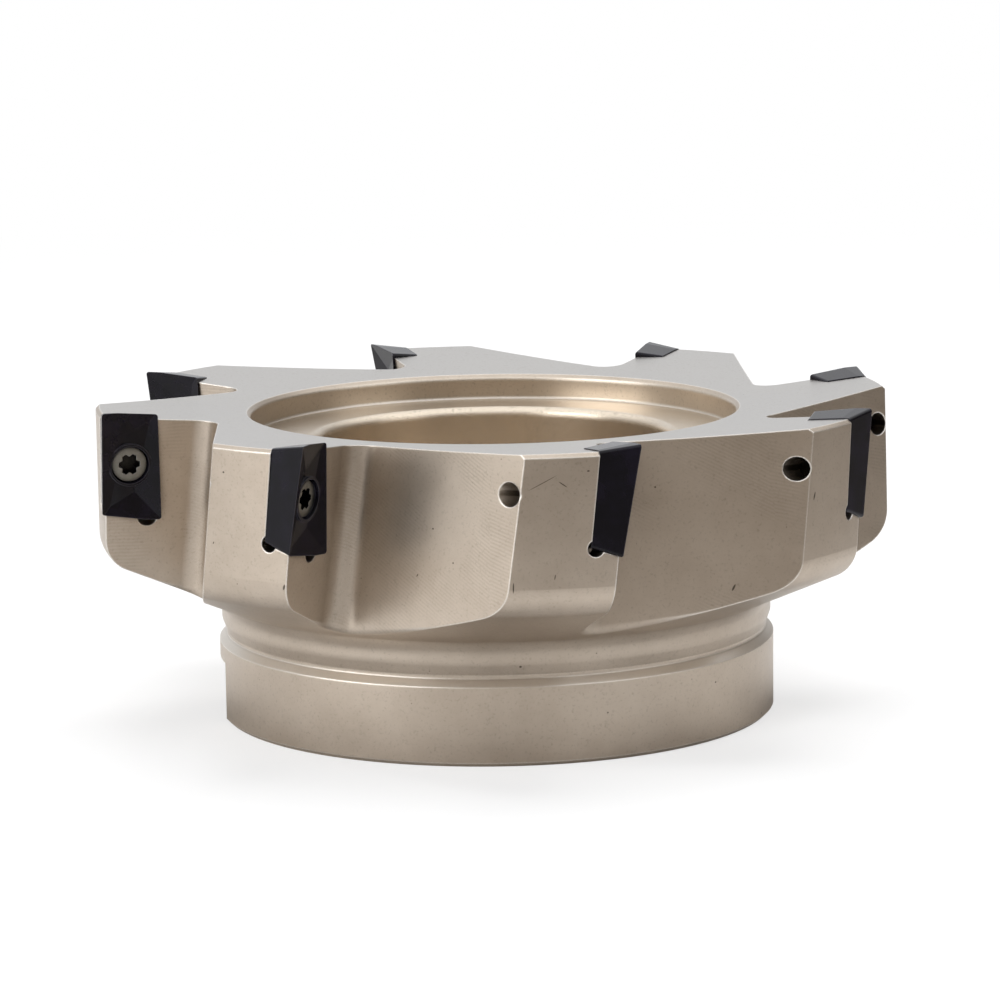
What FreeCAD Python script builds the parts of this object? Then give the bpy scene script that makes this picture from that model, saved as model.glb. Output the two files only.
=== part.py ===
import FreeCAD, Part
import math
import os
import Sketcher
from FreeCAD import Vector

# Indexable shell-type face mill, right-hand cutting, lying on the back face of its hub.
# Frame: Z is the cutter axis and points out of the cutting face.
# The origin is the centre of the hub's back face.
# Tooth 1 has its cutting corner over +X, and tooth numbers run anticlockwise seen from +Z.
# All lengths are millimetres and all angles degrees.

doc = FreeCAD.newDocument("face_mill")
sheet = doc.addObject("Spreadsheet::Sheet", "sizes")

DRIVING_SIZES = [
    # Cutting circle and body blank
    ("tooth_count", 8),
    ("cutting_diameter", 127.0),
    ("overall_height", 50.8),
    ("axial_stand_out", 0.86),
    ("radial_stand_out", 0.85),
    ("rim_chamfer", 0.6),
    ("face_dish_angle", 4.7),
    # Front recess and the well for the arbor's locking screw
    ("recess_wall", 7.19),
    ("recess_depth", 6.9),
    ("recess_rim_chamfer", 0.6),
    ("well_diameter", 55.6),
    ("well_depth", 21.8),
    ("well_rim_chamfer", 0.8),
    # Arbor fit
    ("arbor_bore_diameter", 38.1),
    ("bore_chamfer", 1.0),
    ("drive_slot_width", 15.9),
    ("drive_slot_depth", 9.5),
    ("drive_slot_azimuth", -15.3),
    # Hub, finger groove, neck and the underside of the head
    ("hub_step", 0.45),
    ("hub_height", 12.1),
    ("hub_chamfer", 0.6),
    ("groove_depth", 1.15),
    ("groove_floor", 0.5),
    ("groove_run_out", 2.0),
    ("neck_setback", 1.89),
    ("neck_top_height", 18.6),
    ("neck_chamfer", 1.3),
    ("underside_angle", 23.8),
    ("shoulder_round", 5.2),
    # Gullets: the corner line between rake wall and floor, at its reference height
    ("gullet_drop", 15.8),
    ("gullet_depth", 17.91),
    ("gullet_corner_y", -2.78),
    ("gullet_inward_lean", 3.7),
    ("gullet_forward_lean", 6.66),
    ("rake_wall_angle", 1.7),
    ("gullet_floor_angle", 72.35),
    ("gullet_corner_radius", 3.2),
    # Seat of the insert, and the insert
    ("seat_radial_angle", 1.7),
    ("seat_axial_angle", 6.0),
    ("insert_width", 9.3),
    ("insert_length", 17.35),
    ("insert_thickness", 5.85),
    ("side_clearance_angle", 11.0),
    ("end_clearance_angle", 13.5),
    ("insert_corner_radius", 0.5),
    ("wiper_length", 2.6),
    ("end_relief_angle", 5.0),
    ("cutting_edge_drop", 1.2),
    ("breaker_depth", 1.5),
    ("breaker_side_angle", 17.0),
    ("breaker_end_angle", 13.0),
    ("boss_diameter", 6.7),
    ("boss_height", 0.45),
    # Pocket reliefs
    ("corner_relief_diameter", 3.2),
    ("corner_relief_inset", 1.9),
    ("corner_relief_rise", 0.3),
    ("corner_relief_depth", 0.3),
    ("seat_relief_diameter", 2.5),
    ("seat_relief_lift", 0.7),
    # Clamping screw and its holes
    ("insert_hole_diameter", 4.5),
    ("head_recess_diameter", 5.9),
    ("head_depth", 1.65),
    ("head_diameter", 5.4),
    ("head_rim_height", 0.45),
    ("head_cone_angle", 60.0),
    ("thread_diameter", 3.5),
    ("tapped_hole_diameter", 3.6),
    ("tapped_hole_depth", 14.0),
    ("screw_length", 10.5),
    ("socket_diameter", 3.35),
    ("socket_root_diameter", 2.5),
    ("socket_lobe_width", 0.7),
    ("socket_depth", 1.6),
]

for row, (alias, number) in enumerate(DRIVING_SIZES, 1):
    sheet.set("A%d" % row, alias)
    sheet.set("B%d" % row, str(number))
    sheet.setAlias("B%d" % row, alias)
doc.recompute()


def size(alias):
    """The number that the sheet holds for one size."""
    return float(getattr(sheet, alias))


# Helpers for sketches. Every point of an outline is a pair of expressions on the sheet.

def origin_plane(body, role):
    """One of a body's own origin planes."""
    return [f for f in body.Origin.OriginFeatures if f.Role == role][0]


def new_sketch(body, name, role, offset=None):
    """A sketch on one of the body's origin planes, moved by an optional expression."""
    sketch = body.newObject("Sketcher::SketchObject", name)
    sketch.AttachmentSupport = [(origin_plane(body, role), "")]
    sketch.MapMode = "FlatFace"
    if offset:
        sketch.setExpression("AttachmentOffset", offset)
        doc.recompute()
    return sketch


def pin_point(sketch, geometry, position, across, along):
    """Ties one point of a sketch to the sheet, across and along the sketch."""
    for kind, expression in (("DistanceX", across), ("DistanceY", along)):
        value = float(sketch.evalExpression(expression))
        number = sketch.addConstraint(
            Sketcher.Constraint(kind, -1, 1, geometry, position, value))
        sketch.setExpression("Constraints[%d]" % number, expression)


def outline(sketch, corners):
    """A closed outline of straight lines through corners given as expressions."""
    spots = [Vector(float(sketch.evalExpression(a)), float(sketch.evalExpression(b)), 0)
             for a, b in corners]
    first = sketch.GeometryCount
    count = len(corners)
    for step in range(count):
        line = Part.LineSegment(spots[step], spots[(step + 1) % count])
        sketch.addGeometry(line, False)
    for step in range(count):
        after = first + (step + 1) % count
        sketch.addConstraint(
            Sketcher.Constraint("Coincident", first + step, 2, after, 1))
    for step, (across, along) in enumerate(corners):
        pin_point(sketch, first + step, 1, across, along)
    return first


def circle(sketch, across, along, radius):
    """A circle whose centre and radius are expressions."""
    middle = Vector(float(sketch.evalExpression(across)),
                    float(sketch.evalExpression(along)), 0)
    value = float(sketch.evalExpression(radius))
    shape = Part.Circle(middle, Vector(0, 0, 1), value)
    number = sketch.addGeometry(shape, False)
    pin_point(sketch, number, 3, across, along)
    constraint = sketch.addConstraint(Sketcher.Constraint("Radius", number, value))
    sketch.setExpression("Constraints[%d]" % constraint, radius)
    return number


def turned(body, kind, name, sketch):
    """A revolution or a groove of a sketch about the body's Z axis."""
    feature = body.newObject("PartDesign::" + kind, name)
    feature.Profile = sketch
    axis = [f for f in body.Origin.OriginFeatures if f.Role == "Z_Axis"][0]
    feature.ReferenceAxis = (axis, [""])
    feature.Angle = 360
    doc.recompute()
    return feature


def ring_edges(feature, spots):
    """Names of the circular edges at the given radii and heights."""
    names = []
    for radius, height in spots:
        for number, edge in enumerate(feature.Shape.Edges, 1):
            curve = edge.Curve
            if not isinstance(curve, Part.Circle):
                continue
            same_radius = abs(curve.Radius - radius) < 0.01
            same_height = abs(curve.Center.z - height) < 0.01
            if same_radius and same_height:
                names.append("Edge%d" % number)
                break
        else:
            raise ValueError("no edge at radius %.2f, height %.2f" % (radius, height))
    return names


def dressed(body, kind, name, base, edges, amount):
    """A fillet or chamfer on named edges, with its size tied to the sheet."""
    feature = body.newObject("PartDesign::" + kind, name)
    feature.Base = (base, edges)
    feature.setExpression("Radius" if kind == "Fillet" else "Size", amount)
    doc.recompute()
    return feature


def round_pattern(body, name, features, copies):
    """Features of a body repeated round its Z axis."""
    pattern = body.newObject("PartDesign::PolarPattern", name)
    pattern.Originals = features
    axis = [f for f in body.Origin.OriginFeatures if f.Role == "Z_Axis"][0]
    pattern.Axis = (axis, [""])
    pattern.Angle = 360
    pattern.setExpression("Occurrences", copies)
    body.Tip = pattern
    doc.recompute()
    return pattern


def cut(body, name, sketch, length, reverse=False, middle=False, direction=None,
        floor=None):
    """A pocket of a sketch that has to take material away.

    It is as deep as its length, or reaches a floor plane where one is given."""
    before = body.Tip.Shape.Volume
    feature = body.newObject("PartDesign::Pocket", name)
    feature.Profile = sketch
    feature.Reversed = reverse
    feature.Midplane = middle
    if floor:
        feature.Type = "UpToFace"
        feature.UpToFace = (floor, [""])
    else:
        feature.Type = "Length"
        feature.setExpression("Length", length)
    if direction:
        feature.UseCustomVector = True
        feature.setExpression("Direction", direction)
    doc.recompute()
    if feature.Shape.Volume > before - 1e-3:
        raise ValueError(name + " took nothing away")
    return feature


# Cutter body

# Rotation that stands the insert frame up on its seat. In the insert frame X points
# outward, Y points down the tooth, and Z is the normal of the seat, in the cutting direction.
SEAT_TURN = ("rotation(vector(0; 0; 1); -sizes.seat_radial_angle)"
             " * rotation(vector(1; 0; 0); -90 - sizes.seat_axial_angle)")
# The insert frame's origin is the middle of the insert, level with its cutting corner.
CORNER_TO_MIDDLE = "vector(-sizes.insert_width / 2; sizes.insert_length / 2; 0)"
SEAT_FRAME = ("placement(vector(sizes.cutting_diameter / 2; 0; sizes.overall_height); "
              + SEAT_TURN + ") * placement(" + CORNER_TO_MIDDLE
              + "; rotation(vector(0; 0; 1); 0))")
SEAT_LEVEL = (SEAT_FRAME + " * placement(vector(0; 0; -sizes.insert_thickness);"
              " rotation(vector(0; 0; 1); 0))")
# Radii and levels that follow from the cutting circle and the gullets
BODY_RADIUS = "(sizes.cutting_diameter / 2 - sizes.radial_stand_out)"
GULLET_RADIUS = "(sizes.cutting_diameter / 2 - sizes.gullet_depth)"
RECESS_RADIUS = "(" + GULLET_RADIUS + " - sizes.recess_wall)"
NECK_RADIUS = "(" + GULLET_RADIUS + " - sizes.neck_setback)"
HUB_RADIUS = "(" + NECK_RADIUS + " + sizes.hub_step)"
RECESS_FLOOR = "(sizes.overall_height - sizes.recess_depth)"
WELL_FLOOR = "(sizes.overall_height - sizes.well_depth)"
GULLET_FRAME = ("placement(vector(" + GULLET_RADIUS + "; sizes.gullet_corner_y;"
                " sizes.overall_height - sizes.gullet_drop); rotation(vector(1; 0; 0);"
                " -sizes.gullet_forward_lean) * rotation(vector(0; 1; 0);"
                " -sizes.gullet_inward_lean))")

# How far the insert's sides and ends draw in from its cutting edges to its seat
SIDE_DRAW = "sizes.insert_thickness * tan(sizes.side_clearance_angle)"
END_DRAW = "sizes.insert_thickness * tan(sizes.end_clearance_angle)"


def half(alias):
    """Expression for half of one size."""
    return "sizes.%s / 2" % alias


def build_body():
    """The steel body: turned blank, driving slot, gullets and insert pockets."""
    body = doc.addObject("PartDesign::Body", "cutter_body")
    body.Label = "cutter_body"

    well = half("well_diameter")
    bore = half("arbor_bore_diameter")
    shoulder = ("sizes.neck_top_height + (" + BODY_RADIUS + " - " + NECK_RADIUS + ")"
                " * tan(sizes.underside_angle)")
    face_rim = "sizes.overall_height - sizes.axial_stand_out"
    face_lip = (face_rim + " - (" + BODY_RADIUS + " - " + RECESS_RADIUS + ")"
                " * tan(sizes.face_dish_angle)")
    groove_radius = HUB_RADIUS + " - sizes.groove_depth"
    groove_start = "sizes.hub_height + sizes.groove_depth"
    groove_end = groove_start + " + sizes.groove_floor"
    neck_start = groove_end + " + sizes.groove_run_out"
    # The neck's bevel leaves at least a fifth of the straight neck standing
    neck_wall = "(sizes.neck_top_height - (" + neck_start + "))"
    neck_width = "min(sizes.neck_chamfer; " + neck_wall + " * 4 / 5)"
    section = new_sketch(body, "blank_section", "XZ_Plane")
    outline(section, [
        (bore, "0"), (HUB_RADIUS, "0"),
        (HUB_RADIUS, "sizes.hub_height"), (groove_radius, groove_start),
        (groove_radius, groove_end), (NECK_RADIUS, neck_start),
        (NECK_RADIUS, "sizes.neck_top_height"), (BODY_RADIUS, shoulder),
        (BODY_RADIUS, face_rim), (RECESS_RADIUS, face_lip),
        (RECESS_RADIUS, RECESS_FLOOR), (well, RECESS_FLOOR),
        (well, WELL_FLOOR), (bore, WELL_FLOOR)])
    blank = turned(body, "Revolution", "turned_blank", section)

    def at(radius, height):
        return (float(sheet.evalExpression(radius.replace("sizes.", ""))),
                float(sheet.evalExpression(height.replace("sizes.", ""))))

    base = dressed(body, "Fillet", "shoulder_rounding", blank,
                   ring_edges(blank, [at(BODY_RADIUS, shoulder)]),
                   "sizes.shoulder_round")
    bevels = [
        ("neck_bevel", [at(NECK_RADIUS, "sizes.neck_top_height")], neck_width),
        ("recess_lip_bevel", [at(RECESS_RADIUS, face_lip)], "sizes.recess_rim_chamfer"),
        ("well_lip_bevel", [at(well, RECESS_FLOOR)], "sizes.well_rim_chamfer"),
        ("rim_bevel", [at(BODY_RADIUS, face_rim)], "sizes.rim_chamfer"),
        ("hub_bevel", [at(HUB_RADIUS, "0")], "sizes.hub_chamfer"),
        ("bore_bevels", [at(bore, "0"), at(bore, WELL_FLOOR)], "sizes.bore_chamfer")]
    for name, spots, width in bevels:
        base = dressed(body, "Chamfer", name, base, ring_edges(base, spots), width)

    # Driving slot across the back face
    slot = new_sketch(body, "slot_outline", "XY_Plane",
                      "placement(vector(0; 0; 0); rotation(vector(0; 0; 1);"
                      " sizes.drive_slot_azimuth))")
    reach = "2 * " + HUB_RADIUS
    wide = half("drive_slot_width")
    outline(slot, [("-" + reach, "-" + wide), (reach, "-" + wide),
                   (reach, wide), ("-" + reach, wide)])
    cut(body, "drive_slot", slot, "sizes.drive_slot_depth", reverse=True)

    tooth_cuts = [cut_gullet(body)]
    tooth_cuts += cut_insert_pocket(body)
    round_pattern(body, "eight_teeth", tooth_cuts, "sizes.tooth_count")
    return body


def cut_gullet(body):
    """The chip gullet in front of tooth 1, as an end mill leaves it."""
    sketch = new_sketch(body, "gullet_outline", "XY_Plane", GULLET_FRAME)
    reach = BODY_RADIUS
    wall_x = reach + " * cos(sizes.rake_wall_angle)"
    wall_y = "-" + reach + " * sin(sizes.rake_wall_angle)"
    floor_x = reach + " * cos(sizes.gullet_floor_angle)"
    floor_y = reach + " * sin(sizes.gullet_floor_angle)"
    # Where the corner arc leaves the wall and the floor
    run = ("sizes.gullet_corner_radius / tan((sizes.gullet_floor_angle"
           " + sizes.rake_wall_angle) / 2)")
    points = [(run + " * cos(sizes.rake_wall_angle)",
               "-" + run + " * sin(sizes.rake_wall_angle)"),
              (wall_x, wall_y),
              (wall_x + " + " + floor_x, wall_y + " + " + floor_y),
              (floor_x, floor_y),
              (run + " * cos(sizes.gullet_floor_angle)",
               run + " * sin(sizes.gullet_floor_angle)")]
    spots = [Vector(float(sketch.evalExpression(a)), float(sketch.evalExpression(b)), 0)
             for a, b in points]
    for step in range(4):
        sketch.addGeometry(Part.LineSegment(spots[step], spots[step + 1]), False)
    between = size("gullet_floor_angle") + size("rake_wall_angle")
    toward = math.radians((size("gullet_floor_angle") - size("rake_wall_angle")) / 2)
    span = size("gullet_corner_radius") / math.sin(math.radians(between / 2))
    near = span - size("gullet_corner_radius")
    bend = Vector(near * math.cos(toward), near * math.sin(toward), 0)
    sketch.addGeometry(Part.Arc(spots[4], bend, spots[0]), False)
    for step in range(3):
        sketch.addConstraint(Sketcher.Constraint("Coincident", step, 2, step + 1, 1))
    arc = 4
    ends = {1: sketch.Geometry[arc].StartPoint, 2: sketch.Geometry[arc].EndPoint}
    start_is_floor = (ends[1] - spots[4]).Length < (ends[2] - spots[4]).Length
    floor_end, wall_end = (1, 2) if start_is_floor else (2, 1)
    sketch.addConstraint(Sketcher.Constraint("Coincident", 3, 2, arc, floor_end))
    sketch.addConstraint(Sketcher.Constraint("Coincident", 0, 1, arc, wall_end))
    for step in range(4):
        pin_point(sketch, step, 1, points[step][0], points[step][1])
    pin_point(sketch, 3, 2, points[4][0], points[4][1])
    value = size("gullet_corner_radius")
    number = sketch.addConstraint(Sketcher.Constraint("Radius", arc, value))
    sketch.setExpression("Constraints[%d]" % number, "sizes.gullet_corner_radius")
    return cut(body, "gullet", sketch, "sizes.overall_height * 1.3", middle=True)


def moved(frame, across, along, up, turn="rotation(vector(0; 0; 1); 0)"):
    """Expression for a frame shifted along its own axes and then turned."""
    return "%s * placement(vector(%s; %s; %s); %s)" % (frame, across, along, up, turn)


def cut_insert_pocket(body):
    """The open pocket of tooth 1's insert, with its two reliefs and the tapped hole."""
    half_width = half("insert_width")
    half_length = half("insert_length")
    slope = "tan(sizes.end_relief_angle)"
    outside = "sizes.insert_width * 1.5"
    above = "-sizes.insert_length"
    inner_wall = "-(" + half_width + " - " + SIDE_DRAW + ")"

    def bottom_wall(across):
        # The wall follows the sloping end of the insert, drawn in to the level of the seat
        return ("sizes.insert_length / 2 - " + END_DRAW + " / cos(sizes.end_relief_angle)"
                " - (" + across + " + sizes.insert_width / 2 - sizes.wiper_length) * "
                + slope)

    seat = new_sketch(body, "seat_outline", "XY_Plane", SEAT_LEVEL)
    outline(seat, [(inner_wall, above), (outside, above),
                   (outside, bottom_wall(outside)), (inner_wall, bottom_wall(inner_wall))])
    # The inner wall and the bottom wall lean out with the insert's flanks, so the outline
    # is pushed along the line in which the two walls meet
    side_lean = "tan(sizes.side_clearance_angle)"
    meeting = ("vector(-" + side_lean + "; (tan(sizes.end_clearance_angle) + " + side_lean
               + " * sin(sizes.end_relief_angle)) / cos(sizes.end_relief_angle); 1)")
    pocket = cut(body, "insert_pocket", seat,
                 "sizes.insert_thickness + sizes.cutting_edge_drop",
                 direction=SEAT_TURN + " * " + meeting)

    corner = new_sketch(body, "corner_relief_outline", "XY_Plane", moved(
        SEAT_LEVEL, "0", "0", "-sizes.corner_relief_depth"))
    circle(corner, "-" + half_width + " + sizes.corner_relief_inset",
           half_length + " - sizes.corner_relief_rise", half("corner_relief_diameter"))
    relief = cut(body, "corner_relief", corner,
                 "sizes.insert_thickness + sizes.cutting_edge_drop", reverse=True)

    along_wall = ("rotation(vector(0; 0; 1); -sizes.end_relief_angle)"
                  " * rotation(vector(0; 1; 0); 90)")
    edge = new_sketch(body, "seat_relief_outline", "XY_Plane", moved(
        SEAT_LEVEL, inner_wall, bottom_wall(inner_wall), "sizes.seat_relief_lift",
        along_wall))
    circle(edge, "0", "0", half("seat_relief_diameter"))
    undercut = cut(body, "seat_relief", edge, outside, reverse=True)

    hole = new_sketch(body, "tapped_hole_outline", "XY_Plane", SEAT_LEVEL)
    circle(hole, "0", "0", half("tapped_hole_diameter"))
    tapped = cut(body, "tapped_hole", hole, "sizes.tapped_hole_depth")
    return [pocket, relief, undercut, tapped]


# Inserts

HEAD_SEAT = "-sizes.head_depth - sizes.head_rim_height"
CONE = "tan(sizes.head_cone_angle / 2)"


def tooth_frame(number):
    """Expression for the insert frame of one tooth."""
    turn = "rotation(vector(0; 0; 1); 360 * %d / sizes.tooth_count)" % (number - 1)
    return "placement(vector(0; 0; 0); " + turn + ") * " + SEAT_FRAME


def breaker_corners(level):
    """Corners of the chip breaker at one level.

    Its four walls fall inward from the four edges of the rake face. The edges fall
    from each cutting corner to the next corner, so the corners are where two
    sloping walls meet at that level."""
    mean = "(-sizes.cutting_edge_drop / 2)"
    side = "tan(sizes.breaker_side_angle)"
    end = "tan(sizes.breaker_end_angle)"
    reach_across = "(sizes.insert_width / 2 - (%s - (%s)) / %s)" % (mean, level, side)
    reach_along = "(sizes.insert_length / 2 - (%s - (%s)) / %s)" % (mean, level, end)
    skew_across = "(sizes.cutting_edge_drop / sizes.insert_length / %s)" % side
    skew_along = "(sizes.cutting_edge_drop / sizes.insert_width / %s)" % end
    share = "(1 - %s * %s)" % (skew_across, skew_along)
    high = ("(%s - %s * %s) / %s" % (reach_across, skew_across, reach_along, share),
            "(%s - %s * %s) / %s" % (reach_along, skew_along, reach_across, share))
    low = ("(%s + %s * %s) / %s" % (reach_across, skew_across, reach_along, share),
           "(%s + %s * %s) / %s" % (reach_along, skew_along, reach_across, share))
    return [(high[0], "-" + high[1]), (low[0], low[1]),
            ("-" + high[0], high[1]), ("-" + low[0], "-" + low[1])]


def cut_chip_breaker(body):
    """The chip breaker: a flat floor, and a pocket down to each pair of sloping walls."""
    mouth = breaker_corners("sizes.cutting_edge_drop")
    rim = breaker_corners("-sizes.breaker_depth")
    clear = "2 * sizes.cutting_edge_drop"
    above = "placement(vector(0; 0; " + clear + "); rotation(vector(0; 0; 1); 0))"
    floor = new_sketch(body, "breaker_floor", "XY_Plane", above)
    outline(floor, rim)
    cut(body, "breaker_floor_cut", floor, clear + " + sizes.breaker_depth")

    # Slope of each wall across and along the insert, and a point of its cutting edge
    fall_along = "(-sizes.cutting_edge_drop / sizes.insert_length)"
    fall_across = "(sizes.cutting_edge_drop / sizes.insert_width)"
    walls = [
        ("side", "tan(sizes.breaker_side_angle)", fall_along,
         half("insert_width"), "0", (0, 1)),
        ("end", fall_across, "(-tan(sizes.breaker_end_angle))",
         "0", "-" + half("insert_length"), (3, 0))]
    made = []
    for name, across, along, edge_x, edge_y, ends in walls:
        plane = body.newObject("PartDesign::Plane", name + "_wall")
        plane.AttachmentSupport = [(origin_plane(body, "XY_Plane"), "")]
        plane.MapMode = "FlatFace"
        plane.setExpression("AttachmentOffset", (
            "placement(vector(%s; %s; -sizes.cutting_edge_drop / 2);"
            " rotation(vector(%s; -%s; 0); atan(sqrt(%s ^ 2 + %s ^ 2))))"
            % (edge_x, edge_y, along, across, across, along)))
        sector = new_sketch(body, name + "_wall_outline", "XY_Plane", above)
        first, second = ends
        outline(sector, [rim[first], rim[second], mouth[second], mouth[first]])
        made.append(cut(body, name + "_wall_cut", sector, None, floor=plane))
    return round_pattern(body, "both_cutting_sides", made, "2")


def corner_edges(feature, corners):
    """Names of the edges that run down from the given points of the rake face."""
    names = []
    for across, along in corners:
        for number, edge in enumerate(feature.Shape.Edges, 1):
            ends = [v.Point for v in edge.Vertexes]
            tall = len(ends) == 2 and abs(ends[0].z - ends[1].z) > 1
            if not tall:
                continue
            top = max(ends, key=lambda point: point.z)
            if math.hypot(top.x - across, top.y - along) < 0.01:
                names.append("Edge%d" % number)
    return names


def build_insert(number):
    """One carbide insert in the insert frame, level with its cutting corner."""
    body = doc.addObject("PartDesign::Body", "insert_%d" % number)
    body.Label = "insert_%d" % number
    half_width = half("insert_width")
    half_length = half("insert_length")
    wiper_end = half_width + " - sizes.wiper_length"
    short = (half_length + " - (sizes.insert_width - sizes.wiper_length)"
             " * tan(sizes.end_relief_angle)")
    rake = new_sketch(body, "rake_outline", "XY_Plane")
    outline(rake, [
        (half_width, "-" + half_length), (half_width, short),
        ("-(" + wiper_end + ")", half_length), ("-" + half_width, half_length),
        ("-" + half_width, "-(" + short + ")"), (wiper_end, "-" + half_length)])
    blank = body.newObject("PartDesign::Pad", "pressed_blank")
    blank.Profile = rake
    blank.Reversed = True
    blank.setExpression("Length", "sizes.insert_thickness")
    doc.recompute()
    flanks = blank
    for name, angle, is_end in (("side_clearance", "sizes.side_clearance_angle", False),
                                ("end_clearance", "sizes.end_clearance_angle", True)):
        upright = [(count, face.normalAt(0, 0))
                   for count, face in enumerate(flanks.Shape.Faces, 1)]
        chosen = ["Face%d" % count for count, normal in upright
                  if abs(normal.z) < 0.5 and (abs(normal.y) > 0.5) == is_end]
        draft = body.newObject("PartDesign::Draft", name)
        draft.Base = (flanks, chosen)
        draft.NeutralPlane = (origin_plane(body, "XY_Plane"), [""])
        draft.setExpression("Angle", angle)
        draft.Reversed = True
        doc.recompute()
        flanks = draft

    w, l = size("insert_width") / 2, size("insert_length") / 2
    fall = (2 * w - size("wiper_length")) * math.tan(math.radians(size("end_relief_angle")))
    corners = [(w, -l), (w, l - fall), (-w, l), (-w, fall - l)]
    dressed(body, "Fillet", "corner_rounding", flanks, corner_edges(flanks, corners),
            "sizes.insert_corner_radius")
    cut_chip_breaker(body)

    ring = new_sketch(body, "boss_outline", "XY_Plane",
                      "placement(vector(0; 0; -sizes.breaker_depth - sizes.boss_height);"
                      " rotation(vector(0; 0; 1); 0))")
    circle(ring, "0", "0", half("boss_diameter"))
    boss = body.newObject("PartDesign::Pad", "boss")
    boss.Profile = ring
    boss.setExpression("Length", "2 * sizes.boss_height")
    doc.recompute()

    recess = half("head_recess_diameter")
    hole = half("insert_hole_diameter")
    flare = new_sketch(body, "screw_hole_section", "XZ_Plane")
    outline(flare, [
        ("0", "sizes.insert_thickness"), (recess, "sizes.insert_thickness"),
        (recess, HEAD_SEAT + " + (sizes.head_recess_diameter - sizes.head_diameter)"
         " / 2 / " + CONE),
        (hole, HEAD_SEAT + " - (sizes.head_diameter - sizes.insert_hole_diameter)"
         " / 2 / " + CONE),
        (hole, "-2 * sizes.insert_thickness"), ("0", "-2 * sizes.insert_thickness")])
    turned(body, "Groove", "screw_hole", flare)
    body.setExpression("Placement", tooth_frame(number))
    return body


# Clamping screws

def build_screw(number):
    """One clamping screw, with its head seated in the insert's hole."""
    body = doc.addObject("PartDesign::Body", "insert_screw_%d" % number)
    body.Label = "insert_screw_%d" % number
    head = half("head_diameter")
    thread = half("thread_diameter")
    tip = "-sizes.head_depth - sizes.screw_length"
    section = new_sketch(body, "screw_section", "XZ_Plane")
    outline(section, [
        ("0", "-sizes.head_depth"), (head, "-sizes.head_depth"), (head, HEAD_SEAT),
        (thread, HEAD_SEAT + " - (sizes.head_diameter - sizes.thread_diameter) / 2 / "
         + CONE),
        (thread, tip), ("0", tip)])
    turned(body, "Revolution", "turned_screw", section)

    # Six flat-topped lobes, each between two points of the root circle
    socket = new_sketch(body, "socket_outline", "XY_Plane",
                        "placement(vector(0; 0; -sizes.head_depth);"
                        " rotation(vector(0; 0; 1); 0))")
    lobe = [(half("socket_diameter"), "-" + half("socket_lobe_width")),
            (half("socket_diameter"), half("socket_lobe_width")),
            (half("socket_root_diameter") + " * cos(30)",
             half("socket_root_diameter") + " * sin(30)")]
    points = []
    for turn in range(0, 360, 60):
        points += [("(%s) * cos(%d) - (%s) * sin(%d)" % (across, turn, along, turn),
                    "(%s) * sin(%d) + (%s) * cos(%d)" % (across, turn, along, turn))
                   for across, along in lobe]
    outline(socket, points)
    cut(body, "socket", socket, "sizes.socket_depth")
    body.setExpression("Placement", tooth_frame(number))
    doc.recompute()
    return body


# Build every piece, check it and write it

pieces = [build_body()]
for number in range(1, int(size("tooth_count")) + 1):
    pieces.append(build_insert(number))
    pieces.append(build_screw(number))
doc.recompute()

for item in doc.Objects:
    if "Invalid" in item.State or "Error" in item.State:
        raise ValueError(item.Name + " did not compute")

os.makedirs("parts", exist_ok=True)
for piece in pieces:
    shape = piece.Shape
    if shape.isNull() or not shape.isValid() or len(shape.Solids) != 1:
        raise ValueError(piece.Label + " is not one sound solid")
    shape.exportStep("parts/%s.step" % piece.Label)
    print(piece.Label, "volume %.1f" % shape.Volume)
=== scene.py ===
import math

import bpy
from mathutils import Matrix, Vector

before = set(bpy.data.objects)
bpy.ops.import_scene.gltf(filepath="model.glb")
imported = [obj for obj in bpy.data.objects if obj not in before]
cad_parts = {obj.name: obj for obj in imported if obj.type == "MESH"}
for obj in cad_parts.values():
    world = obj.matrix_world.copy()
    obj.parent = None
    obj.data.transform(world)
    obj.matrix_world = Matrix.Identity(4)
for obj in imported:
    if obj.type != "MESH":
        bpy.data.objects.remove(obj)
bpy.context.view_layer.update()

# An indexable face mill that stands on its hub: finishes, camera and studio.
# All lengths are in metres, in the frame of the solids, with the spindle axis on Z.

MILLIMETRE = 0.001

# Places on the body that its finish follows
TOOTH_COUNT = 8
HUB_RADIUS = 0.04415
RECESS_RADIUS = 0.0384
NECK_FOOT = 0.0150
NECK_TOP = 0.0215

# The hub's top flank, where a painted highlight lies: where it starts, is full, fades and ends
LIP_START, LIP_FULL = 0.0119, 0.0122
LIP_FADE, LIP_END = 0.0129, 0.0136

# The end mill that cut the gullets left fine lines that run down across each floor
FEED_LINE_PITCH = 0.5 * MILLIMETRE
FEED_LINE_SLOPE = math.radians(28)
FEED_LINE_WANDER = 1.2 * MILLIMETRE

# Small scars of use: turn about the axis in degrees, then height, radius, length and width
# in millimetres, and the slope of the scar in degrees.
SCARS = [
    (-100.5, 45.5, 62.6, 1.5, 0.16, -35),
    (-103.2, 45.8, 62.6, 4.6, 0.10, 27),
    (-97.1, 47.3, 62.6, 0.4, 0.24, 0),
    (-101.7, 32.1, 62.6, 0.8, 0.16, 80),
    (-107.2, 30.7, 62.6, 1.6, 0.20, 88),
    (-60.3, 39.8, 62.6, 1.3, 0.34, 70),
    (-70.7, 26.7, 56.1, 1.1, 0.26, 65),
    (-138.9, 29.8, 62.6, 0.9, 0.36, 70),
    (-119.4, 37.6, 52.5, 0.3, 0.26, 0),
    (-122.3, 30.5, 51.7, 0.5, 0.18, 60),
    (-60.5, 9.2, 44.1, 0.4, 0.26, 0),
    (-104.9, 15.1, 43.5, 0.4, 0.34, 0),
    (-148.6, 45.9, 62.6, 0.4, 0.30, 0),
    (-150.8, 35.2, 62.6, 0.4, 0.22, 60)]
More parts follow.
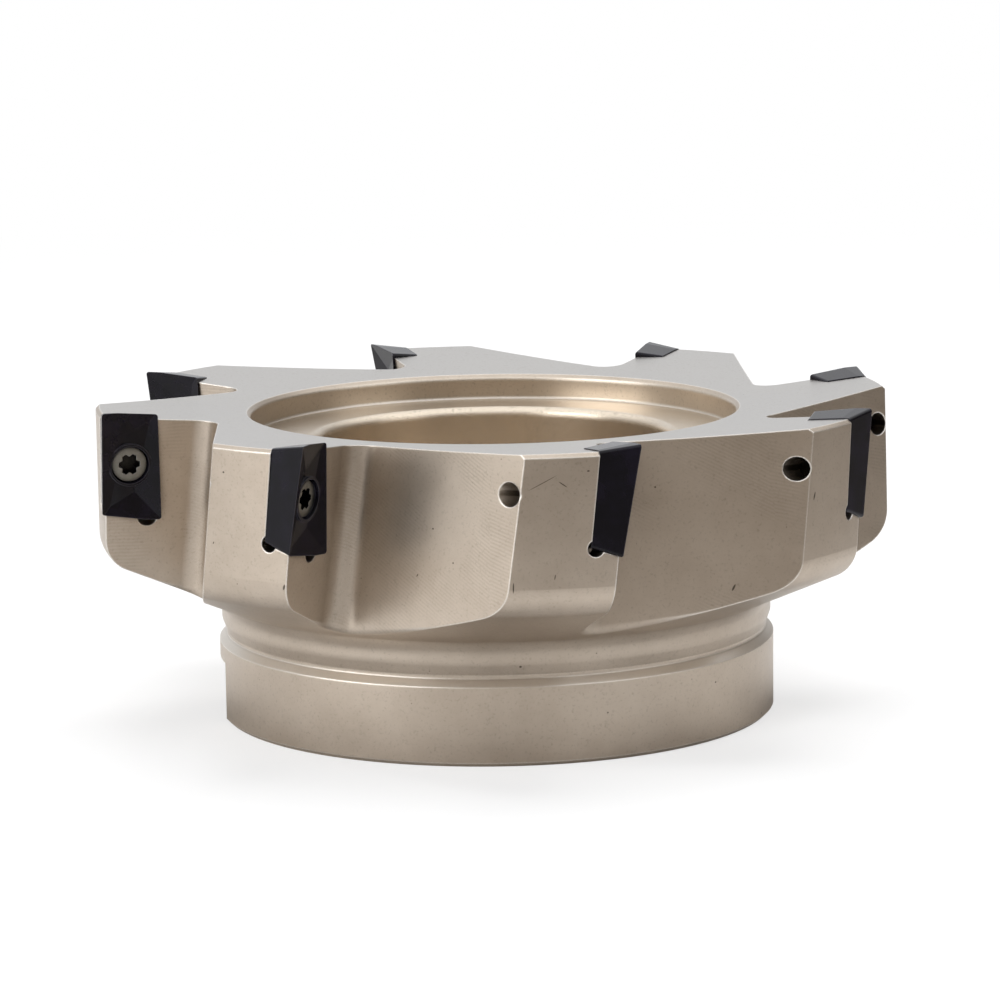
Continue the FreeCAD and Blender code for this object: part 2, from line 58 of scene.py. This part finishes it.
SCAR_REACH = 0.5 * MILLIMETRE

# Finish colours
NICKEL = (0.470, 0.400, 0.328, 1)
NICKEL_PALE = (0.520, 0.448, 0.372, 1)
NICKEL_MOTTLE = (0.60, 0.53, 0.45, 1)
NICKEL_FACE = (0.500, 0.492, 0.478, 1)
NICKEL_TURNED = (0.78, 0.68, 0.55, 1)
NICKEL_LINE = (0.30, 0.25, 0.20, 1)
NICKEL_FLECK = (0.27, 0.225, 0.18, 1)
NICKEL_LIP_HIGHLIGHT = (0.97, 0.94, 0.88, 1)
NICKEL_HOLLOW_SHADE = (0.085, 0.063, 0.043, 1)
NICKEL_EDGE_WEAR_AND_HIGHLIGHT = (0.95, 0.92, 0.87, 1)
SPECK_BROWN = (0.05, 0.042, 0.034, 1)
CARBIDE_BLACK = (0.0035, 0.0030, 0.0048, 1)
CARBIDE_VIOLET = (0.0065, 0.0050, 0.0105, 1)
CARBIDE_EDGE_HONE_AND_HIGHLIGHT = (0.090, 0.083, 0.100, 1)
SCREW_GREY = (0.18, 0.177, 0.160, 1)
SCREW_PALE = (0.31, 0.304, 0.278, 1)
SCREW_EDGE_GLINT = (0.80, 0.80, 0.77, 1)
SOCKET_SHADE = (0.010, 0.009, 0.008, 1)

# Studio colours: the walls of the room that the metal mirrors, and the table
ROOM_BACK = (0.84, 0.85, 0.87, 1)
ROOM_FRONT = (0.36, 0.305, 0.250, 1)
ROOM_RIGHT = (0.13, 0.105, 0.080, 1)
ROOM_LEFT = (0.57, 0.56, 0.55, 1)
ROOM_CEILING = (1.35, 1.36, 1.38, 1)
ROOM_LIGHT = (0.97, 0.98, 1.0, 1)
TABLE_WHITE = (0.96, 0.96, 0.965, 1)
TABLE_MIRRORED = (0.78, 0.775, 0.77, 1)
TABLE_SHADE = (0.26, 0.235, 0.210, 1)

# The table is white far off by its own glow, and shows more of its shadow near the part
TABLE_SIZE = 12
GLOW_NEAR = 0.68
GLOW_START, GLOW_FULL = 0.22, 0.80

# The photograph's view: the camera stands this far from the axis and above the floor,
# turned clockwise from the -Y side, and looks almost at the axis.
VIEW_TURN = math.radians(-19.477)
VIEW_DISTANCE = 0.59871
VIEW_HEIGHT = 0.13368
VIEW_YAW = math.radians(-0.081)
VIEW_PITCH = math.radians(9.545)
VIEW_ROLL = math.radians(-0.845)
VIEW_LENS = 137.417
LAMP_AIM = Vector((0, 0, 0.03))


# Node helpers

def new_material(name):
    """A material with an empty tree, its principled shader and its output."""
    material = bpy.data.materials.new(name)
    material.use_nodes = True
    tree = material.node_tree
    tree.nodes.clear()
    shader = tree.nodes.new("ShaderNodeBsdfPrincipled")
    output = tree.nodes.new("ShaderNodeOutputMaterial")
    tree.links.new(shader.outputs["BSDF"], output.inputs["Surface"])
    return material, tree, shader


def feed(tree, value, socket):
    """Links an output to a socket, or sets the socket to a plain value."""
    if isinstance(value, bpy.types.NodeSocket):
        tree.links.new(value, socket)
    else:
        socket.default_value = value


def maths(tree, operation, *values):
    """One Math node on up to three values."""
    made = tree.nodes.new("ShaderNodeMath")
    made.operation = operation
    for value, socket in zip(values, made.inputs):
        feed(tree, value, socket)
    return made.outputs[0]


def product(tree, first, *others):
    """All values multiplied, such as masks that have to hold together."""
    total = first
    for other in others:
        total = maths(tree, "MULTIPLY", total, other)
    return total


def either(tree, first, *others):
    """The greatest of the values, such as masks of which one is enough."""
    total = first
    for other in others:
        total = maths(tree, "MAXIMUM", total, other)
    return total


def outside(tree, mask):
    """A mask turned round: 1 where it is 0 and 0 where it is 1."""
    return maths(tree, "SUBTRACT", 1.0, mask)


def add_share(tree, mask, amount, base):
    """A value raised by an amount where a mask is."""
    return maths(tree, "MULTIPLY_ADD", mask, amount, base)


def noise(tree, vector, scale, detail=2.0, roughness=0.5):
    """Noise strength at a place, from 0 to 1."""
    made = tree.nodes.new("ShaderNodeTexNoise")
    tree.links.new(vector, made.inputs["Vector"])
    made.inputs["Scale"].default_value = scale
    made.inputs["Detail"].default_value = detail
    made.inputs["Roughness"].default_value = roughness
    return made.outputs[0]


def join(tree, across, along, up):
    """A vector from three values."""
    made = tree.nodes.new("ShaderNodeCombineXYZ")
    for value, socket in zip((across, along, up), made.inputs):
        feed(tree, value, socket)
    return made.outputs[0]


def split(tree, vector):
    """The three values of a vector."""
    made = tree.nodes.new("ShaderNodeSeparateXYZ")
    tree.links.new(vector, made.inputs[0])
    return made.outputs


def step(tree, value, low, high):
    """0 at low, 1 at high and a smooth rise between. low may be the larger."""
    made = tree.nodes.new("ShaderNodeMapRange")
    made.interpolation_type = "SMOOTHSTEP"
    feed(tree, value, made.inputs["Value"])
    made.inputs["From Min"].default_value = low
    made.inputs["From Max"].default_value = high
    return made.outputs["Result"]


def blend(tree, share, first, second):
    """Two colours mixed by a share."""
    made = tree.nodes.new("ShaderNodeMix")
    made.data_type = "RGBA"
    feed(tree, share, made.inputs[0])
    feed(tree, first, made.inputs[6])
    feed(tree, second, made.inputs[7])
    return made.outputs[2]


def tint(tree, under, mask, strength, colour):
    """A colour laid over another where a mask is, as strongly as told."""
    return blend(tree, maths(tree, "MULTIPLY", mask, strength), under, colour)


def bump(tree, height, strength, distance, normal):
    """A bump on top of another normal."""
    made = tree.nodes.new("ShaderNodeBump")
    made.inputs["Strength"].default_value = strength
    made.inputs["Distance"].default_value = distance
    tree.links.new(height, made.inputs["Height"])
    tree.links.new(normal, made.inputs["Normal"])
    return made.outputs[0]


def rounded_edges(tree, radius):
    """The normal with its edges rounded, and a mask of where those edges are."""
    bevel = tree.nodes.new("ShaderNodeBevel")
    bevel.samples = 6
    feed(tree, radius, bevel.inputs["Radius"])
    plain = tree.nodes.new("ShaderNodeNewGeometry")
    dot = tree.nodes.new("ShaderNodeVectorMath")
    dot.operation = "DOT_PRODUCT"
    tree.links.new(bevel.outputs[0], dot.inputs[0])
    tree.links.new(plain.outputs["Normal"], dot.inputs[1])
    return bevel.outputs[0], step(tree, dot.outputs["Value"], 0.996, 0.93)


def dots(tree, vector, scale, size, share):
    """Small dots in a share of the cells: 1 in a dot and 0 outside it."""
    cells = tree.nodes.new("ShaderNodeTexVoronoi")
    cells.inputs["Scale"].default_value = scale
    tree.links.new(vector, cells.inputs["Vector"])
    chance = split(tree, cells.outputs["Color"])[0]
    inside = step(tree, cells.outputs["Distance"], size, size * 0.6)
    return product(tree, inside, maths(tree, "LESS_THAN", chance, share))


def openness(tree, reach):
    """1 in the open and 0 deep inside a hollow."""
    made = tree.nodes.new("ShaderNodeAmbientOcclusion")
    made.samples = 6
    made.inputs["Distance"].default_value = reach
    return made.outputs["AO"]


def polar(tree, place):
    """Radius, turn about the axis and height of a place."""
    x, y, z = split(tree, place)
    squares = maths(tree, "ADD", maths(tree, "MULTIPLY", x, x), maths(tree, "MULTIPLY", y, y))
    return maths(tree, "SQRT", squares), maths(tree, "ARCTAN2", y, x), z


# Finishes

def feed_lines(tree, radius, turn, height, wander):
    """The end mill's fine parallel lines across each gullet floor, from 0 to 1."""
    pitch = 2 * math.pi / TOOTH_COUNT
    local = maths(tree, "WRAP", turn, pitch * 0.55, -pitch * 0.45)
    across = maths(tree, "MULTIPLY", radius, maths(tree, "SINE", local))
    crossing = maths(tree, "ADD",
                     maths(tree, "MULTIPLY", across, math.sin(FEED_LINE_SLOPE)),
                     maths(tree, "MULTIPLY", height, math.cos(FEED_LINE_SLOPE)))
    crossing = maths(tree, "ADD", crossing, maths(tree, "MULTIPLY", wander, FEED_LINE_WANDER))
    wave = maths(tree, "SINE", maths(tree, "MULTIPLY", crossing, 2 * math.pi / FEED_LINE_PITCH))
    return maths(tree, "MULTIPLY_ADD", wave, 0.5, 0.5)


def scars(tree, radius, turn, height):
    """1 inside the small scars of use and 0 elsewhere."""
    total = 0.0
    for degrees, level, out, length, width, slope in SCARS:
        lean = math.radians(slope)
        aside = maths(tree, "SUBTRACT", turn, math.radians(degrees))
        aside = maths(tree, "MULTIPLY", aside, radius)
        above = maths(tree, "SUBTRACT", height, level * MILLIMETRE)
        run = maths(tree, "ADD", maths(tree, "MULTIPLY", aside, math.cos(lean)),
                    maths(tree, "MULTIPLY", above, math.sin(lean)))
        off = maths(tree, "SUBTRACT", maths(tree, "MULTIPLY", above, math.cos(lean)),
                    maths(tree, "MULTIPLY", aside, math.sin(lean)))
        run = maths(tree, "DIVIDE", run, length * MILLIMETRE / 2)
        off = maths(tree, "DIVIDE", off, width * MILLIMETRE / 2)
        reach = maths(tree, "ADD", maths(tree, "MULTIPLY", run, run),
                      maths(tree, "MULTIPLY", off, off))
        depth = maths(tree, "COMPARE", radius, out * MILLIMETRE, SCAR_REACH)
        total = either(tree, total, product(tree, step(tree, reach, 1.3, 0.5), depth))
    return total


def gullet_mask(tree, normal, radius, turn):
    """1 on the gullets' walls and floors: upright, beyond the hub, not on a tooth's land."""
    normal_x, normal_y, normal_z = split(tree, normal)
    upright = step(tree, maths(tree, "ABSOLUTE", normal_z), 0.30, 0.15)
    on_cutter = step(tree, radius, HUB_RADIUS * 0.99, HUB_RADIUS * 1.02)
    outward = maths(tree, "ADD", maths(tree, "MULTIPLY", normal_x, maths(tree, "COSINE", turn)),
                    maths(tree, "MULTIPLY", normal_y, maths(tree, "SINE", turn)))
    not_land = step(tree, maths(tree, "ABSOLUTE", outward), 0.995, 0.985)
    return product(tree, upright, on_cutter, not_land)


def satin_nickel():
    """Blasted and nickel-plated steel: warm and satin, turned bright inside the recess."""
    material, tree, shader = new_material("satin_nickel")
    coords = tree.nodes.new("ShaderNodeTexCoord")
    place = coords.outputs["Object"]
    normal_z = split(tree, coords.outputs["Normal"])[2]
    radius, turn, height = polar(tree, place)

    # Where each part of the finish lies
    gullet = gullet_mask(tree, coords.outputs["Normal"], radius, turn)
    face = product(tree, step(tree, normal_z, 0.90, 0.98),
                   step(tree, radius, RECESS_RADIUS * 0.99, RECESS_RADIUS * 1.01))
    inside = step(tree, radius, RECESS_RADIUS * 1.01, RECESS_RADIUS * 0.99)
    neck = product(tree, step(tree, height, NECK_FOOT, NECK_FOOT * 1.03),
                   step(tree, height, NECK_TOP * 1.1, NECK_TOP))
    groove = product(tree, step(tree, height, LIP_FADE, LIP_END),
                     step(tree, height, NECK_FOOT * 1.16, NECK_FOOT * 1.04))
    lip_highlight = product(tree, step(tree, height, LIP_START, LIP_FULL),
                  step(tree, height, LIP_END, LIP_FADE), step(tree, normal_z, 0.2, 0.6))

    # Soft edges, wider on the neck and in the recess; elsewhere the edges are lightened, partly as
    # wear and partly as a painted highlight
    softness = add_share(tree, neck, 1.6 * MILLIMETRE, 0.35 * MILLIMETRE)
    softness = add_share(tree, inside, 1.0 * MILLIMETRE, softness)
    edge_normal, edge = rounded_edges(tree, softness)
    edge = product(tree, edge, outside(tree, either(tree, neck, inside)))
    hollows = either(tree, gullet, product(tree, inside, 0.30), groove)
    # Painted shade: the gullets, the recess and the groove turn darker where the body's own
    # occlusion is deep
    corner_shade = product(tree, step(tree, openness(tree, 4.5 * MILLIMETRE), 0.88, 0.45), hollows)

    # Patterns of the plate, of its machining and of its use
    cloud = noise(tree, place, 55, detail=3.0, roughness=0.55)
    mottle = noise(tree, place, 420)
    grain = noise(tree, place, 5200, roughness=0.6)
    fleck = noise(tree, place, 2300, roughness=0.6)
    rings = noise(tree, join(tree, radius, 0.0, height), 2600, detail=3.0, roughness=0.7)
    patches = step(tree, noise(tree, place, 85, detail=1.0), 0.46, 0.62)
    lined = product(tree, feed_lines(tree, radius, turn, height, cloud), gullet, patches)
    specks = either(tree, dots(tree, place, 150, 0.026, 0.40), dots(tree, place, 420, 0.045, 0.14),
                    scars(tree, radius, turn, height))

    colour = blend(tree, step(tree, cloud, 0.35, 0.65), NICKEL, NICKEL_PALE)
    colour = tint(tree, colour, step(tree, mottle, 0.35, 0.75), 0.20, NICKEL_MOTTLE)
    colour = tint(tree, colour, face, 0.85, NICKEL_FACE)
    colour = tint(tree, colour, inside, 0.75, NICKEL_TURNED)
    colour = tint(tree, colour, lined, 0.22, NICKEL_LINE)
    colour = tint(tree, colour, step(tree, fleck, 0.52, 0.80), 0.40, NICKEL_FLECK)
    # Painted highlight: a near-white band on the hub's upward-facing top flank
    colour = tint(tree, colour, lip_highlight, 0.55, NICKEL_LIP_HIGHLIGHT)
    colour = tint(tree, colour, corner_shade, 0.88, NICKEL_HOLLOW_SHADE)
    # Edges lightened: partly wear, partly a painted highlight
    colour = tint(tree, colour, edge, 0.85, NICKEL_EDGE_WEAR_AND_HIGHLIGHT)
    colour = tint(tree, colour, specks, 0.85, SPECK_BROWN)
    tree.links.new(colour, shader.inputs["Base Color"])
    shader.inputs["Metallic"].default_value = 0.92

    rough = add_share(tree, cloud, 0.08, 0.28)
    rough = add_share(tree, grain, 0.06, rough)
    rough = add_share(tree, gullet, 0.03, rough)
    rough = add_share(tree, inside, -0.10, rough)
    tree.links.new(rough, shader.inputs["Roughness"])

    turned = product(tree, rings, outside(tree, gullet))
    normal = bump(tree, grain, 0.30, 0.03 * MILLIMETRE, edge_normal)
    normal = bump(tree, turned, 0.25, 0.03 * MILLIMETRE, normal)
    normal = bump(tree, lined, 0.30, 0.02 * MILLIMETRE, normal)
    tree.links.new(normal, shader.inputs["Normal"])
    return material


def coated_carbide():
    """Pressed and ground carbide with a smooth violet-black coating."""
    material, tree, shader = new_material("coated_carbide")
    place = tree.nodes.new("ShaderNodeTexCoord").outputs["Object"]
    haze = noise(tree, place, 260, detail=3.0, roughness=0.6)
    grain = noise(tree, place, 9000, detail=1.0)
    edge_normal, edge = rounded_edges(tree, 0.16 * MILLIMETRE)
    colour = blend(tree, step(tree, haze, 0.35, 0.7), CARBIDE_BLACK, CARBIDE_VIOLET)
    # Edges lighter in colour: partly honed edges, partly a painted highlight
    colour = tint(tree, colour, edge, 0.55, CARBIDE_EDGE_HONE_AND_HIGHLIGHT)
    tree.links.new(colour, shader.inputs["Base Color"])
    shader.inputs["Specular IOR Level"].default_value = 0.20
    tree.links.new(add_share(tree, haze, 0.08, 0.15), shader.inputs["Roughness"])
    tree.links.new(bump(tree, grain, 0.20, 0.015 * MILLIMETRE, edge_normal),
                   shader.inputs["Normal"])
    return material


def screw_steel():
    """Grey hardened steel, with painted shade down in the socket and a painted glint on its edges.
    """
    material, tree, shader = new_material("screw_steel")
    place = tree.nodes.new("ShaderNodeTexCoord").outputs["Object"]
    haze = noise(tree, place, 900, detail=3.0)
    grain = noise(tree, place, 7000)
    edge_normal, edge = rounded_edges(tree, 0.10 * MILLIMETRE)
    colour = blend(tree, haze, SCREW_GREY, SCREW_PALE)
    # Painted glint: the screw's edges are coloured pale grey
    colour = tint(tree, colour, edge, 0.5, SCREW_EDGE_GLINT)
    # Painted shade: the socket is coloured nearly black where the screw's own occlusion is deep
    out_of_socket = step(tree, openness(tree, 5 * MILLIMETRE), 0.60, 0.92)
    colour = blend(tree, out_of_socket, SOCKET_SHADE, colour)
    tree.links.new(colour, shader.inputs["Base Color"])
    shader.inputs["Metallic"].default_value = 0.9
    tree.links.new(add_share(tree, haze, 0.12, 0.24), shader.inputs["Roughness"])
    tree.links.new(bump(tree, grain, 0.25, 0.02 * MILLIMETRE, edge_normal),
                   shader.inputs["Normal"])
    return material


def dress(finishes):
    """Gives each node the finish of its kind: its name without its number."""
    for name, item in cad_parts.items():
        kind = name.rstrip("0123456789").rstrip("_")
        item.data.materials.clear()
        item.data.materials.append(finishes[kind])


# Studio

def room_directions(tree, vector):
    """A vector's parts to the right of the studio, away from its front and up."""
    turned = tree.nodes.new("ShaderNodeMapping")
    turned.vector_type = "POINT"
    turned.inputs["Rotation"].default_value = (0, 0, -VIEW_TURN)
    tree.links.new(vector, turned.inputs["Vector"])
    return split(tree, turned.outputs[0])


def studio_colour(tree):
    """What the metal mirrors: a bright back and ceiling, a softer left, a dim front and right."""
    coords = tree.nodes.new("ShaderNodeTexCoord")
    right, away, up = room_directions(tree, coords.outputs["Generated"])
    colour = blend(tree, step(tree, away, 0.35, -0.55), ROOM_BACK, ROOM_FRONT)
    colour = blend(tree, step(tree, right, 0.15, 0.65), colour, ROOM_RIGHT)
    colour = blend(tree, step(tree, right, -0.35, -0.85), colour, ROOM_LEFT)
    return blend(tree, step(tree, up, 0.30, 0.78), colour, ROOM_CEILING)


def mix_shaders(tree, share, first, second):
    """Two shaders mixed by a share."""
    made = tree.nodes.new("ShaderNodeMixShader")
    tree.links.new(share, made.inputs[0])
    tree.links.new(first.outputs[0], made.inputs[1])
    tree.links.new(second.outputs[0], made.inputs[2])
    return made


def background(tree, colour, strength=1.0):
    """A plain light from all sides."""
    made = tree.nodes.new("ShaderNodeBackground")
    feed(tree, colour, made.inputs["Color"])
    made.inputs["Strength"].default_value = strength
    return made


def white_backdrop():
    """White to the camera, a studio room in reflections and a plain light on all else."""
    world = bpy.data.worlds.new("studio")
    bpy.context.scene.world = world
    world.use_nodes = True
    tree = world.node_tree
    tree.nodes.clear()
    path = tree.nodes.new("ShaderNodeLightPath")
    mirrored = mix_shaders(tree, path.outputs["Is Glossy Ray"],
                           background(tree, ROOM_LIGHT, 0.45),
                           background(tree, studio_colour(tree)))
    through = either(tree, path.outputs["Is Camera Ray"], path.outputs["Is Transmission Ray"])
    seen = mix_shaders(tree, through, mirrored, background(tree, (1, 1, 1, 1)))
    output = tree.nodes.new("ShaderNodeOutputWorld")
    tree.links.new(seen.outputs[0], output.inputs["Surface"])


def pale_floor():
    """A wide white table that keeps a soft shadow round the part and is white far off."""
    bpy.ops.mesh.primitive_plane_add(size=TABLE_SIZE)
    floor = bpy.context.object
    floor.name = "floor"
    material = bpy.data.materials.new("white_table")
    material.use_nodes = True
    tree = material.node_tree
    tree.nodes.clear()
    path = tree.nodes.new("ShaderNodeLightPath")
    place = tree.nodes.new("ShaderNodeTexCoord").outputs["Object"]
    distance = polar(tree, place)[0]
    right = room_directions(tree, place)[0]

    # The metal mirrors a table with painted shade that grows dim towards the front right
    dim = product(tree, step(tree, distance, 0.11, 0.27), step(tree, right, -0.14, 0.0))
    mirrored = blend(tree, dim, TABLE_MIRRORED, TABLE_SHADE)
    paper = tree.nodes.new("ShaderNodeBsdfDiffuse")
    tree.links.new(blend(tree, path.outputs["Is Glossy Ray"], TABLE_WHITE, mirrored),
                   paper.inputs["Color"])

    glow = tree.nodes.new("ShaderNodeEmission")
    glow.inputs["Strength"].default_value = 1.0
    far = step(tree, distance, GLOW_START, GLOW_FULL)
    share = product(tree, path.outputs["Is Camera Ray"],
                    add_share(tree, far, 1 - GLOW_NEAR, GLOW_NEAR))
    output = tree.nodes.new("ShaderNodeOutputMaterial")
    tree.links.new(mix_shaders(tree, share, paper, glow).outputs[0], output.inputs["Surface"])
    floor.data.materials.append(material)


def softbox(name, place, size, power, mirrored=True):
    """A square soft lamp that faces the middle of the part, seen in the metal or not."""
    lamp = bpy.data.lights.new(name, "AREA")
    lamp.shape = "SQUARE"
    lamp.size = size
    lamp.energy = power
    item = bpy.data.objects.new(name, lamp)
    item.visible_glossy = mirrored
    item.location = Matrix.Rotation(VIEW_TURN, 3, "Z") @ Vector(place)
    item.rotation_euler = (LAMP_AIM - item.location).to_track_quat("-Z", "Y").to_euler()
    bpy.context.collection.objects.link(item)


def photograph_camera():
    """The photograph's own viewpoint, with the whole picture as the frame."""
    lens = bpy.data.cameras.new("camera")
    lens.lens = VIEW_LENS
    lens.clip_start = 0.01
    lens.clip_end = 100
    camera = bpy.data.objects.new("camera", lens)
    turned = Matrix.Rotation(VIEW_TURN, 4, "Z")
    stand = Matrix.Translation((0, -VIEW_DISTANCE, VIEW_HEIGHT))
    yaw = Matrix.Rotation(VIEW_YAW, 4, "Z")
    tilt = Matrix.Rotation(math.radians(90) - VIEW_PITCH, 4, "X")
    roll = Matrix.Rotation(VIEW_ROLL, 4, "Z")
    camera.matrix_world = turned @ stand @ yaw @ tilt @ roll
    bpy.context.collection.objects.link(camera)
    bpy.context.scene.camera = camera


dress({"cutter_body": satin_nickel(), "insert": coated_carbide(),
       "insert_screw": screw_steel()})
white_backdrop()
pale_floor()
softbox("key_left", (-0.95, -0.60, 0.45), size=0.9, power=6.2)
softbox("top", (0.1, 0.3, 1.2), size=1.0, power=15, mirrored=False)
softbox("fill_right", (1.1, -0.5, 0.6), size=0.8, power=2)
photograph_camera()
bpy.context.scene.view_settings.view_transform = "Standard"
